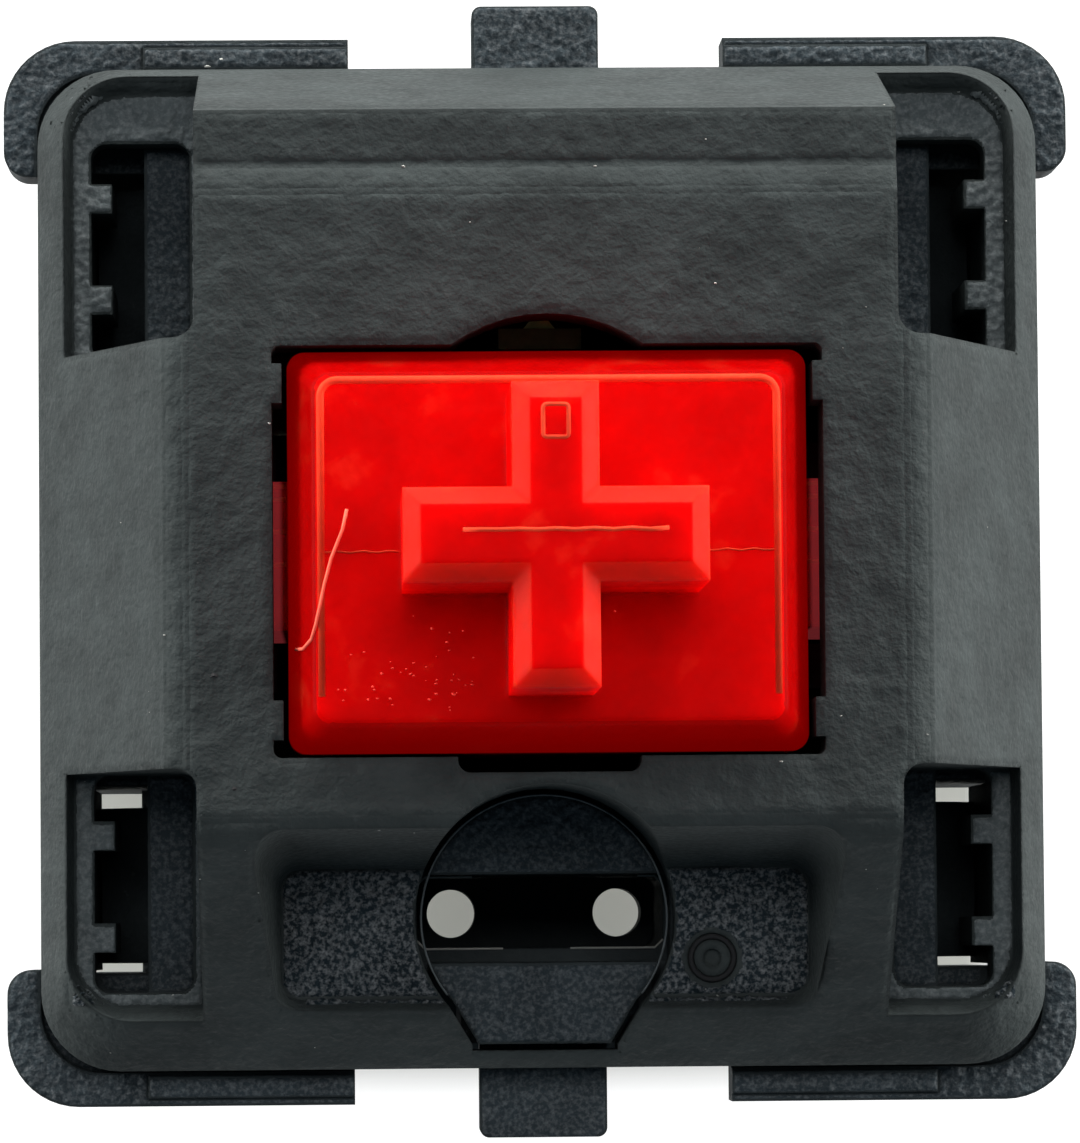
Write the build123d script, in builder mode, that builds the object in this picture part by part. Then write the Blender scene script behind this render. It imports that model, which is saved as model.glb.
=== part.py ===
from build123d import *
import os

# A mechanical keyboard switch of the common plate-mounted kind: a black two-part
# housing, a red stem with a cross for the keycap, a return spring and a leaf contact.
# The origin is the root of the centre post, on the plane of the circuit board. +Z runs
# up to the keycap, +Y towards the contact pins, -Y towards the seat for a small lamp.
# All lengths are in millimetres.

# Heights above the circuit board
plate_top = 5.0
plate_thickness = 1.5
cover_top = 11.1
shoulder_rise = 0.5
travel = 4.0
pin_length = 3.3
floor_thickness = 1.0

# Stem: a hollow block with a tapered shoulder, a cross on top and a pole inside
stem_half_x = 3.63
stem_half_y = 2.81
stem_corner_radius = 0.25
stem_taper_x = 0.37
stem_taper_y = 0.38
stem_taper_height = 1.0
stem_clear = 1.4
stem_roof = 1.4
stem_wall = 0.7
stem_edge_radius = 0.1
cross_length = 4.1
cross_bar_x = 1.27
cross_bar_y = 1.17
cross_height = 3.6
cross_chamfer = 0.24
pole_gap = 0.07
pole_clear = 1.0
pole_chamfer = 0.3
rail_half_width = 1.05
rail_reach = 0.92
rail_groove_half_width = 0.3
rail_groove_depth = 0.3
stop_rise = 0.6
stop_gap = 0.05
leg_foot_inner = 1.35
leg_foot_outer = 2.5
leg_foot_reach = 0.22
leg_foot_drop = 0.5
leg_foot_ramp = 2.6

# Walls of the housing, from the rails of the stem outwards
rail_end_gap = 0.42
slot_wall = 0.76
slot_width = 0.8
leg_gap = 0.05
hook_reach = 0.54
leg_thickness = 0.43
leg_setback = 0.01
cover_overhang = 0.3
flange_width = 0.53

# Flange of the lower housing, which rests on the plate at its four corners
flange_thickness = 1.0
flange_corner_radius = 1.05
flange_end_radius = 0.35
flange_leg_x = 5.05
flange_leg_y = 2.0
seat_depth = 0.3
seat_gap = 0.04
seat_corner_radius = 0.9
grip_rise = 0.12
grip_width = 0.32
grip_length = 3.0
grip_setback = 0.12

# Body of the lower housing, below the plate
body_corner_radius = 0.7
foot_draw = 0.22
foot_height = 2.0

# Cover: a straight skirt, a tall sloping band and a low one round the top face
cover_corner_radius = 1.15
cover_skirt = 1.1
cover_step = 0.15
slope_run_x = 1.91
slope_run_north = 1.09
slope_run_south = 3.27
slope_corner_radius = 0.45
north_ledge = 0.75
bevel_run_x = 0.31
bevel_run_north = 0.4
bevel_run_south = 0.3
plateau_corner_radius = 0.3
slope_wall = 0.68
cover_roof = 1.2
cavity_south_gap = 0.27

# Opening for the stem, with round relief for the keycap's socket
opening_gap_x = 0.21
opening_gap_y = 0.06
relief_reach = 0.43
relief_radius = 2.32
relief_south_reach = 0.22
relief_half_width = 1.28
relief_corner_radius = 0.18
pad_rise = 0.14
pad_length = 0.55
pad_from_corner = 0.25
opening_corner_radius = 0.12

# Latch windows in the corners of the cover, each in a pocket of its own
window_width = 1.43
window_near = 3.0
window_margin = 0.83
window_corner_radius = 0.22
pocket_setback = 0.14
pocket_wall = 0.5
pocket_wall_north = 0.43
pocket_wall_south = 0.92
pocket_draft_x = 0.17
pocket_draft_north = 0.8
pocket_draft_south = 0.37
pocket_corner_radius = 0.8
pocket_inner_radius = 0.3
ledge_rise = 0.4
ledge_thickness = 0.6

# Latch legs of the cover, and the catches that they snap under
leg_bottom = 2.85
leg_shift = 0.07
leg_end_gap = 0.25
leg_clear = 0.35
hook_height = 0.65
hook_near_gap = 0.3
hook_far_gap = 0.15
catch_height = 1.4
catch_lead = 0.7
leg_rib_width = 0.42
leg_rib_depth = 0.3
leg_rib_spacing = 1.47
leg_rib_shift = 0.11

# Seat for the lamp: a keyhole in the cover, a pillar in the lower housing
lamp_wall = 0.37
lamp_radius = 1.87
lamp_neck_half = 1.05
lamp_neck_angle = 48
lamp_neck_length = 0.08
lamp_neck_reach = 0.03
lamp_clearance = 0.09
lamp_seat_rise = 0.2
lamp_slot_overlap = 0.1
lamp_slot_width = 1.28
lamp_slot_depth = 2.4
lamp_well_wall = 0.06
lamp_well_width = 1.06
lamp_well_radius = 0.2
lamp_lead_shift = 0.09
lamp_lead_spacing = 2.54
lamp_lead_radius = 0.37

# Sunk panel either side of the lamp seat, with a round mould mark
recess_rise = 0.8
recess_half_x = 3.8
recess_end_wall = 1.02
recess_length = 1.86
recess_draft_x = 0.4
recess_draft_north = 0.55
recess_draft_south = 1.8
recess_corner_radius = 0.32
recess_rim_radius = 0.5
mark_x = 2.4
mark_wall = 1.57
mark_radius = 0.36
mark_dot_radius = 0.13
mark_line = 0.1
mark_depth = 0.08

# Chamber of the lower housing
chamber_south_gap = 0.54
north_wall = 0.4
inner_wall = 0.68
south_wall = 0.65
wall_clearance = 0.05
wing_wall = 0.5
guide_gap = 0.1
guide_width = 0.65

# Plate clips on the north and south faces
clip_half_width = 1.2
clip_slit = 0.4
clip_thickness = 0.52
clip_root_height = 0.7
clip_hook_reach = 0.35
clip_hook_height = 1.9
clip_hook_lip = 0.25
clip_gap = 0.05
tab_half_width = 0.93
tab_overhang = 0.5
tab_thickness = 0.8
tab_corner_radius = 0.14

# Return spring, and what it stands on
spring_side_gap = 0.14
wire_radius = 0.12
wire_sides = 5
spring_coils = 8
close_coils = 1
coil_gap = 0.02
points_per_turn = 8
spring_end_gap = 0.02
spring_seat_rise = 0.6
spring_seat_ledge = 0.33
tube_gap = 0.23
tube_wall = 0.275
tube_top = 5.2
well_depth = 1.6
post_radius = 1.975
post_chamfer = 0.3

# Contacts, of sheet metal
sheet = 0.3
pin_width = 0.95
pin_tip = 0.5
pin_taper = 0.7
pin_slot_gap = 0.05
plate_gap = 0.09
fixed_pin_margin = 1.16
fixed_pin_offset = 0.58
fixed_strip_margin = 0.37
fixed_strip_east = 1.0
fixed_strip_height = 1.6
tower_half_width = 0.6
tower_rise = 0.25
moving_pin_x = 2.54
terminal_room = 0.37
terminal_west = -1.5
terminal_east = 3.3
terminal_height = 1.5
leaf_sheet = 0.1
leaf_gap = 0.02
leaf_half_width = 1.2
leaf_foot_gap = 0.3
leaf_bend_rise = 1.4
leaf_bend_height = 2.0
leaf_rise = 0.6
arm_height = 0.5
arm_top = 5.8
arm_inner = 1.5
arm_outer = 2.3
arm_gap = 0.03
point_above_arm = 0.6
point_length = 1.1
point_base = 0.5
point_crest = 0.14
point_rise = 0.22
point_gap = 0.22
holder_width = 0.6
holder_depth = 0.45
holder_height = 1.2
holder_gap = 0.02

# Heights that follow
flange_top = plate_top + flange_thickness
seat = flange_top - seat_depth
skirt_top = seat + cover_skirt
slope_top = cover_top - cover_step
roof_under = cover_top - cover_roof
ledge_height = skirt_top + ledge_rise
ledge_under = ledge_height - ledge_thickness
wall_top = ledge_under - wall_clearance
recess_floor = skirt_top + recess_rise
lamp_seat_height = skirt_top + lamp_seat_rise
shoulder = cover_top + shoulder_rise
stem_taper_base = shoulder - stem_taper_height
stem_bottom = floor_thickness + travel + stem_clear
stem_ceiling = shoulder - stem_roof
stop_top = floor_thickness + stop_rise
rail_bottom = stop_top + travel + stop_gap
rail_top = roof_under - stop_gap
pole_bottom = travel - well_depth + pole_clear
hook_top = leg_bottom + hook_height
catch_bottom = hook_top + leg_gap
catch_top = catch_bottom + catch_height
leg_slot_floor = leg_bottom - leg_clear
hook_face = plate_top - plate_thickness
tab_bottom = plate_top + clip_gap
tab_top = tab_bottom + tab_thickness
tab_relief = tab_top + clip_gap
spring_seat = floor_thickness + spring_seat_rise
spring_bottom = spring_seat + spring_end_gap
spring_top = stem_ceiling - spring_end_gap
leaf_bend_low = floor_thickness + leaf_foot_gap + leaf_bend_rise
leaf_bend_high = leaf_bend_low + leaf_bend_height
point_height = arm_top + point_above_arm
leaf_top = point_height + leaf_rise
tower_top = leaf_top + tower_rise
leg_foot_bottom = arm_top - leaf_sheet - leg_foot_drop

# Walls and places that follow, from the stem outwards
opening_half_x = stem_half_x + opening_gap_x
opening_half_y = stem_half_y + opening_gap_y
relief_centre = opening_half_y + relief_reach - relief_radius
relief_south = opening_half_y + relief_south_reach
rail_outer = stem_half_x + rail_reach
rail_room = rail_half_width + guide_gap
guide_inner = opening_half_x
chamber_half_x = rail_outer + rail_end_gap
slot_inner = chamber_half_x + slot_wall
leg_inner = slot_inner + slot_width
hook_inner = leg_inner - hook_reach
leg_outer = leg_inner + leg_thickness
body_half = leg_outer + leg_setback
foot_half = body_half - foot_draw
cover_half = body_half + cover_overhang
seat_half = cover_half + seat_gap
flange_half = cover_half + flange_width
flange_gap_half_x = flange_half - flange_leg_x
flange_gap_half_y = flange_half - flange_leg_y
grip_outer = flange_half - grip_setback
grip_end = flange_gap_half_x + grip_length
slope_half_x = cover_half - slope_run_x
slope_north = cover_half - slope_run_north
slope_south = slope_run_south - cover_half
bevel_north = slope_north - north_ledge
plateau_half_x = slope_half_x - bevel_run_x
plateau_north = bevel_north - bevel_run_north
plateau_south = slope_south + bevel_run_south
cavity_south = -stem_half_y - cavity_south_gap
window_outer = leg_inner - leg_gap
window_inner = window_outer - window_width
window_far = body_half - window_margin
pocket_inner = window_inner - pocket_setback
pocket_outer = cover_half - pocket_wall
pocket_north = cover_half - pocket_wall_north
pocket_south = cover_half - pocket_wall_south
leg_centre = (window_near + window_far) / 2 - leg_shift
leg_half_width = (window_far - window_near) / 2 - leg_end_gap
slot_near = leg_centre - leg_half_width - leg_gap
slot_far = leg_centre + leg_half_width + leg_gap
hook_centre = (slot_near + hook_near_gap + slot_far - hook_far_gap) / 2
hook_half_width = (slot_far - hook_far_gap - slot_near - hook_near_gap) / 2
catch_outer = leg_inner - leg_gap
clip_face = body_half - clip_gap
clip_back = clip_face - clip_thickness
clip_recess = clip_back - clip_slit
tab_reach = flange_half + tab_overhang
chamber_north = clip_recess - north_wall
chamber_south = -stem_half_y - chamber_south_gap
wing_north = chamber_south - inner_wall
wing_south = south_wall - body_half
wing_half_x = lamp_radius + wing_wall
lamp_y = -opening_half_y - lamp_wall - lamp_radius
lamp_lead_y = lamp_y + lamp_lead_shift
lamp_neck_end = lamp_y - lamp_radius - lamp_neck_reach
lamp_neck_start = lamp_neck_end + lamp_neck_length
pillar_radius = lamp_radius - lamp_clearance
lamp_slot_half_x = pillar_radius + lamp_slot_overlap
lamp_well_half_x = lamp_slot_half_x - lamp_well_wall
recess_south = recess_end_wall - cover_half
recess_north = recess_south + recess_length
mark_y = mark_wall - cover_half
spring_radius = stem_half_y - stem_wall - spring_side_gap - wire_radius
tube_radius = spring_radius - wire_radius - tube_gap
well_radius = tube_radius - tube_wall
pole_radius = well_radius - pole_gap
spring_seat_radius = spring_radius + wire_radius + spring_seat_ledge
leg_foot_face = stem_half_y + leg_foot_reach
fixed_plate_y = leg_foot_face + plate_gap
plate_north = fixed_plate_y + sheet
fixed_pin_x = fixed_pin_margin - chamber_half_x
fixed_pin_y = fixed_plate_y - fixed_pin_offset
fixed_strip_west = fixed_strip_margin - chamber_half_x
terminal_north = chamber_north - terminal_room
terminal_south = terminal_north - sheet
moving_pin_y = terminal_north - sheet / 2
leaf_root_face = terminal_south - leaf_gap - leaf_sheet
leaf_face = plate_north + 2 * point_rise + point_gap


def block(low, high, mode=Mode.ADD):
    """A plain block between two opposite corners."""
    size = [high[i] - low[i] for i in range(3)]
    with Locations(tuple(low)):
        Box(*size, align=(Align.MIN, Align.MIN, Align.MIN), mode=mode)


def both_sides(low, high, mode=Mode.ADD):
    """The same block east and west of the middle."""
    block(low, high, mode)
    block((-high[0], low[1], low[2]), (-low[0], high[1], high[2]), mode)


def four_corners(low, high, mode=Mode.ADD):
    """The same block in all four quarters."""
    both_sides(low, high, mode)
    both_sides((low[0], -high[1], low[2]), (high[0], -low[1], high[2]), mode)


def pin_outline(x):
    """Outline of a contact pin, from the floor of the housing down to its narrow tip."""
    return (
        (x - pin_width / 2, floor_thickness),
        (x + pin_width / 2, floor_thickness),
        (x + pin_width / 2, pin_taper - pin_length),
        (x + pin_tip / 2, -pin_length),
        (x - pin_tip / 2, -pin_length),
        (x - pin_width / 2, pin_taper - pin_length),
    )


# Outline of the lamp seat: a circle whose neck runs out to the south
with BuildSketch() as keyhole:
    with Locations((0, lamp_y)):
        Circle(lamp_radius)
    flare = Vector(0, -lamp_radius).rotate(Axis.Z, lamp_neck_angle)
    with BuildLine():
        Polyline(
            (-flare.X, lamp_y + flare.Y),
            (-lamp_neck_half, lamp_neck_start),
            (-lamp_neck_half, lamp_neck_end),
            (lamp_neck_half, lamp_neck_end),
            (lamp_neck_half, lamp_neck_start),
            (flare.X, lamp_y + flare.Y),
            close=True,
        )
    make_face()

# The pillar follows the same outline with a clearance
with BuildSketch() as pillar_outline:
    add(keyhole.sketch)
    offset(amount=-lamp_clearance, kind=Kind.INTERSECTION)

# Catch for one latch leg, then for all four
with BuildPart() as catches:
    with BuildSketch(Plane.XZ.offset(-hook_centre)):
        with BuildLine():
            Polyline(
                (slot_inner - wall_clearance, catch_bottom),
                (catch_outer, catch_bottom),
                (catch_outer, catch_top - catch_lead),
                (slot_inner, catch_top),
                (slot_inner - wall_clearance, catch_top),
                close=True,
            )
        make_face()
    extrude(amount=hook_half_width, both=True)
    mirror(about=Plane.XZ)
    mirror(about=Plane.YZ)

# Plate clip on the north face, then the same on the south face
with BuildPart() as clips:
    block(
        (-clip_half_width, clip_back, clip_root_height - clip_gap),
        (clip_half_width, clip_face, tab_top),
    )
    with BuildSketch(Plane.YZ):
        with BuildLine():
            Polyline(
                (clip_back, hook_face),
                (clip_face + clip_hook_reach, hook_face),
                (clip_face + clip_hook_reach, hook_face - clip_hook_lip),
                (clip_back, hook_face - clip_hook_height),
                close=True,
            )
        make_face()
    extrude(amount=clip_half_width, both=True)
    with BuildSketch(Plane.XY.offset(tab_bottom)):
        with Locations((0, (clip_back + tab_reach) / 2)):
            RectangleRounded(2 * tab_half_width, tab_reach - clip_back, tab_corner_radius)
    extrude(amount=tab_thickness)
    mirror(about=Plane.XZ)

with BuildPart() as lower_housing:
    # Body below the plate, drawn in towards the board
    with BuildSketch(Plane.XY):
        RectangleRounded(2 * foot_half, 2 * foot_half, body_corner_radius)
    with BuildSketch(Plane.XY.offset(foot_height)):
        RectangleRounded(2 * body_half, 2 * body_half, body_corner_radius)
    loft()
    with BuildSketch(Plane.XY.offset(foot_height)):
        RectangleRounded(2 * body_half, 2 * body_half, body_corner_radius)
    extrude(amount=seat - foot_height)
    # Slab under the cover, and the four flange corners that stand out past it
    with BuildSketch(Plane.XY.offset(plate_top)):
        RectangleRounded(2 * cover_half, 2 * cover_half, seat_corner_radius)
    extrude(amount=seat - plate_top)
    with BuildSketch(Plane.XY.offset(plate_top)) as flange:
        RectangleRounded(2 * flange_half, 2 * flange_half, flange_corner_radius)
        Rectangle(2 * flange_gap_half_x, 3 * flange_half, mode=Mode.SUBTRACT)
        Rectangle(3 * flange_half, 2 * flange_gap_half_y, mode=Mode.SUBTRACT)
        side_ends = flange.vertices().filter_by(lambda v: abs(abs(v.X) - flange_half) < 0.01)
        end_corners = side_ends.filter_by(lambda v: abs(abs(v.Y) - flange_gap_half_y) < 0.01)
        fillet(end_corners, flange_end_radius)
    extrude(amount=flange_thickness)
    # Seat that the skirt of the cover drops into
    with BuildSketch(Plane.XY.offset(seat)):
        RectangleRounded(2 * seat_half, 2 * seat_half, seat_corner_radius)
    extrude(amount=flange_thickness, mode=Mode.SUBTRACT)
    # Low grip bars along the flange, north and south
    four_corners(
        (flange_gap_half_x, grip_outer - grip_width, flange_top),
        (grip_end, grip_outer, flange_top + grip_rise),
    )
    # Chamber for the stem and the contacts, and a wing either side of the lamp
    block(
        (-chamber_half_x, chamber_south, floor_thickness),
        (chamber_half_x, chamber_north, flange_top),
        Mode.SUBTRACT,
    )
    both_sides(
        (wing_half_x, wing_south, floor_thickness),
        (chamber_half_x, wing_north, flange_top),
        Mode.SUBTRACT,
    )
    # Walls that rise from the body into the cover
    both_sides((chamber_half_x, wing_south, seat), (slot_inner, window_far, wall_top))
    block(
        (-chamber_half_x, chamber_north, seat),
        (chamber_half_x, chamber_north + sheet, wall_top),
    )
    block(
        (-chamber_half_x, wing_north, seat),
        (chamber_half_x, chamber_south, wall_top),
    )
    # Guides for the rails of the stem, and the stops under them
    four_corners(
        (guide_inner, rail_room, floor_thickness),
        (chamber_half_x, rail_room + guide_width, wall_top),
    )
    both_sides(
        (guide_inner, -rail_room, floor_thickness),
        (chamber_half_x, rail_room, stop_top),
    )
    # Pillar that fills the keyhole of the cover, with a slot for the lamp
    with BuildSketch(Plane.XY.offset(seat)):
        add(pillar_outline.sketch)
    extrude(amount=lamp_seat_height - seat)
    slot_bottom = lamp_seat_height - lamp_slot_depth
    block(
        (-lamp_slot_half_x, lamp_y - lamp_slot_width / 2, slot_bottom),
        (lamp_slot_half_x, lamp_y + lamp_slot_width / 2, lamp_seat_height),
        Mode.SUBTRACT,
    )
    with BuildSketch(Plane.XY.offset(floor_thickness)):
        with Locations((0, lamp_lead_y)):
            RectangleRounded(2 * lamp_well_half_x, lamp_well_width, lamp_well_radius)
    extrude(amount=slot_bottom - floor_thickness, mode=Mode.SUBTRACT)
    with BuildSketch(Plane.XY):
        with Locations((0, lamp_lead_y)):
            with GridLocations(lamp_lead_spacing, 0, 2, 1):
                Circle(lamp_lead_radius)
    extrude(amount=floor_thickness, mode=Mode.SUBTRACT)
    # Slots for the latch legs with the catches in them, open below on the south side
    four_corners(
        (slot_inner, slot_near, leg_slot_floor),
        (seat_half, slot_far, flange_top),
        Mode.SUBTRACT,
    )
    both_sides(
        (hook_inner - leg_gap, -slot_far, -floor_thickness),
        (seat_half, -slot_near, leg_slot_floor),
        Mode.SUBTRACT,
    )
    add(catches.part)
    # Plate clips, each cut free at its sides and behind
    for south in (False, True):
        low_y = -flange_half if south else clip_recess
        high_y = -clip_recess if south else flange_half
        block(
            (-clip_half_width - clip_slit, low_y, clip_root_height),
            (clip_half_width + clip_slit, high_y, flange_top),
            Mode.SUBTRACT,
        )
    add(clips.part)
    # Spring seat and tube, then the centre post with the well for the pole
    with BuildSketch(Plane.XY.offset(floor_thickness)):
        Circle(spring_seat_radius)
    extrude(amount=spring_seat_rise)
    with BuildSketch(Plane.XY.offset(-pin_length)):
        Circle(post_radius)
    extrude(amount=pin_length)
    chamfer(lower_housing.edges().group_by(Axis.Z)[0], post_chamfer)
    with BuildSketch(Plane.XY.offset(floor_thickness)):
        Circle(tube_radius)
    extrude(amount=tube_top - floor_thickness)
    with BuildSketch(Plane.XY.offset(-well_depth)):
        Circle(well_radius)
    extrude(amount=tube_top + well_depth, mode=Mode.SUBTRACT)
    # Slots in the floor for the two contact pins
    pin_room_x = pin_width / 2 + pin_slot_gap
    pin_room_y = sheet / 2 + pin_slot_gap
    for pin_x, pin_y in ((fixed_pin_x, fixed_pin_y), (moving_pin_x, moving_pin_y)):
        block(
            (pin_x - pin_room_x, pin_y - pin_room_y, -floor_thickness),
            (pin_x + pin_room_x, pin_y + pin_room_y, floor_thickness),
            Mode.SUBTRACT,
        )
    # Posts that hold the contact plates upright, one either side of each plate
    fixed_post_x = fixed_pin_x + pin_width / 2 + pin_slot_gap
    terminal_post_x = terminal_east - holder_width
    for post_x, south_face, north_face in (
        (fixed_post_x, fixed_plate_y, plate_north),
        (terminal_post_x, terminal_south, terminal_north),
    ):
        block(
            (post_x, north_face + holder_gap, floor_thickness),
            (
                post_x + holder_width,
                north_face + holder_gap + holder_depth,
                floor_thickness + holder_height,
            ),
        )
        block(
            (post_x, south_face - holder_gap - holder_depth, floor_thickness),
            (post_x + holder_width, south_face - holder_gap, floor_thickness + holder_height),
        )

lower_housing.part.label = "lower_housing"

# Hollow of the cover, kept clear of the window pockets and of the sunk panel
with BuildPart() as cavity:
    with BuildSketch(Plane.XY.offset(ledge_under)):
        Rectangle(2 * leg_inner, 2 * leg_inner)
    with BuildSketch(Plane.XY.offset(roof_under)):
        cavity_north = slope_north - slope_wall
        with Locations((0, (cavity_north + cavity_south) / 2)):
            Rectangle(2 * (slope_half_x - slope_wall), cavity_north - cavity_south)
    loft()
    four_corners(
        (pocket_inner - slope_wall, window_near - slope_wall, ledge_under),
        (cover_half, cover_half, cover_top),
        Mode.SUBTRACT,
    )
    block(
        (-cover_half, -cover_half, recess_floor - slope_wall),
        (cover_half, cavity_south, cover_top),
        Mode.SUBTRACT,
    )
    with BuildSketch(Plane.XY.offset(seat)):
        Rectangle(2 * leg_inner, 2 * leg_inner)
    extrude(amount=ledge_under - seat)

# Pockets round the four windows: walls that flare upwards from a level ledge
with BuildPart() as pockets:
    pocket_rise = cover_top - ledge_height
    flare_x = pocket_draft_x * pocket_rise
    rim_north = pocket_north + pocket_draft_north * pocket_rise
    rim_south = pocket_south + pocket_draft_south * pocket_rise
    with BuildSketch(Plane.XY.offset(ledge_height)):
        with Locations((0, (pocket_north - pocket_south) / 2)):
            RectangleRounded(
                2 * pocket_outer, pocket_north + pocket_south, pocket_corner_radius
            )
    with BuildSketch(Plane.XY.offset(cover_top)):
        with Locations((0, (rim_north - rim_south) / 2)):
            RectangleRounded(
                2 * (pocket_outer + flare_x), rim_north + rim_south, pocket_corner_radius + flare_x
            )
    loft()
    block(
        (-pocket_inner, -2 * cover_half, ledge_height),
        (pocket_inner, 2 * cover_half, cover_top),
        Mode.SUBTRACT,
    )
    block(
        (-2 * cover_half, -window_near, ledge_height),
        (2 * cover_half, window_near, cover_top),
        Mode.SUBTRACT,
    )
    inner_edges = pockets.edges().filter_by(Axis.Z)
    fillet(inner_edges, pocket_inner_radius)

# Latch leg with its hook and two ribs, then all four
with BuildPart() as latch_legs:
    with BuildSketch(Plane.XZ.offset(-leg_centre)):
        with BuildLine():
            Polyline(
                (leg_inner, seat + leg_gap),
                (leg_outer, seat + leg_gap),
                (leg_outer, leg_bottom),
                (leg_inner, leg_bottom),
                close=True,
            )
        make_face()
    extrude(amount=leg_half_width, both=True)
    with BuildSketch(Plane.XZ.offset(-hook_centre)):
        with BuildLine():
            Polyline(
                (leg_outer, leg_bottom),
                (leg_inner, leg_bottom),
                (hook_inner, leg_bottom + hook_reach),
                (hook_inner, hook_top),
                (leg_outer, hook_top),
                close=True,
            )
        make_face()
    extrude(amount=hook_half_width, both=True)
    rib_bottom = catch_top + leg_gap
    with Locations((leg_inner, leg_centre + leg_rib_shift, rib_bottom)):
        with GridLocations(0, leg_rib_spacing, 1, 2):
            Box(
                2 * (leg_rib_depth + leg_gap),
                leg_rib_width,
                ledge_height - rib_bottom,
                align=(Align.CENTER, Align.CENTER, Align.MIN),
            )
    mirror(about=Plane.XZ)
    mirror(about=Plane.YZ)

with BuildPart() as upper_housing:
    # Skirt, sloping band and top band
    with BuildSketch(Plane.XY.offset(seat)):
        RectangleRounded(2 * cover_half, 2 * cover_half, cover_corner_radius)
    extrude(amount=cover_skirt)
    with BuildSketch(Plane.XY.offset(skirt_top)):
        RectangleRounded(2 * cover_half, 2 * cover_half, cover_corner_radius)
    with BuildSketch(Plane.XY.offset(slope_top)):
        with Locations((0, (slope_north + slope_south) / 2)):
            RectangleRounded(2 * slope_half_x, slope_north - slope_south, slope_corner_radius)
    loft()
    with BuildSketch(Plane.XY.offset(slope_top)):
        with Locations((0, (bevel_north + slope_south) / 2)):
            RectangleRounded(2 * slope_half_x, bevel_north - slope_south, slope_corner_radius)
    with BuildSketch(Plane.XY.offset(cover_top)):
        with Locations((0, (plateau_north + plateau_south) / 2)):
            RectangleRounded(
                2 * plateau_half_x, plateau_north - plateau_south, plateau_corner_radius
            )
    loft()
    # Window pockets, hollow, sunk panel, keyhole and windows
    add(pockets.part, mode=Mode.SUBTRACT)
    add(cavity.part, mode=Mode.SUBTRACT)
    with BuildSketch(Plane.XY.offset(recess_floor)):
        with Locations((0, (recess_north + recess_south) / 2)):
            RectangleRounded(
                2 * recess_half_x, recess_north - recess_south, recess_corner_radius
            )
    with BuildSketch(Plane.XY.offset(cover_top)):
        recess_top = recess_north + recess_draft_north
        recess_end = recess_south - recess_draft_south
        with Locations((0, (recess_top + recess_end) / 2)):
            RectangleRounded(
                2 * (recess_half_x + recess_draft_x), recess_top - recess_end, recess_rim_radius
            )
    loft(mode=Mode.SUBTRACT)
    with BuildSketch(Plane.XY.offset(seat)):
        add(keyhole.sketch)
    extrude(amount=cover_top, mode=Mode.SUBTRACT)
    with BuildSketch(Plane.XY.offset(recess_floor - mark_depth)):
        with Locations((mark_x, mark_y)):
            Circle(mark_radius)
            Circle(mark_radius - mark_line, mode=Mode.SUBTRACT)
            Circle(mark_dot_radius)
    extrude(amount=2 * mark_depth, mode=Mode.SUBTRACT)
    for window_x in (-window_outer, window_inner):
        for window_y in (-window_far, window_near):
            with BuildSketch(Plane.XY.offset(ledge_under)):
                with Locations((window_x, window_y)):
                    RectangleRounded(
                        window_outer - window_inner,
                        window_far - window_near,
                        window_corner_radius,
                        align=(Align.MIN, Align.MIN),
                    )
            extrude(amount=ledge_thickness, mode=Mode.SUBTRACT)
    # Opening for the stem with four small pads inside its ends
    with BuildSketch(Plane.XY.offset(roof_under)):
        RectangleRounded(2 * opening_half_x, 2 * opening_half_y, opening_corner_radius)
        pad_y = opening_half_y - pad_from_corner - pad_length / 2
        with GridLocations(2 * opening_half_x, 2 * pad_y, 2, 2):
            Rectangle(2 * pad_rise, pad_length, mode=Mode.SUBTRACT)
    extrude(amount=cover_roof, mode=Mode.SUBTRACT)
    with BuildSketch(Plane.XY.offset(roof_under)):
        with Locations((0, relief_centre)):
            Circle(relief_radius)
        Rectangle(2 * relief_radius, 2 * opening_half_y, mode=Mode.SUBTRACT)
        with Locations((0, -relief_south / 2)):
            RectangleRounded(2 * relief_half_width, relief_south, relief_corner_radius)
    extrude(amount=cover_roof, mode=Mode.SUBTRACT)
    # Notch over each clip tab, then the latch legs
    for south in (False, True):
        low_y = -flange_half if south else leg_inner - leg_gap
        high_y = -leg_inner + leg_gap if south else flange_half
        block(
            (-clip_half_width - clip_slit, low_y, seat),
            (clip_half_width + clip_slit, high_y, tab_relief),
            Mode.SUBTRACT,
        )
    add(latch_legs.part)

upper_housing.part.label = "upper_housing"

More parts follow.
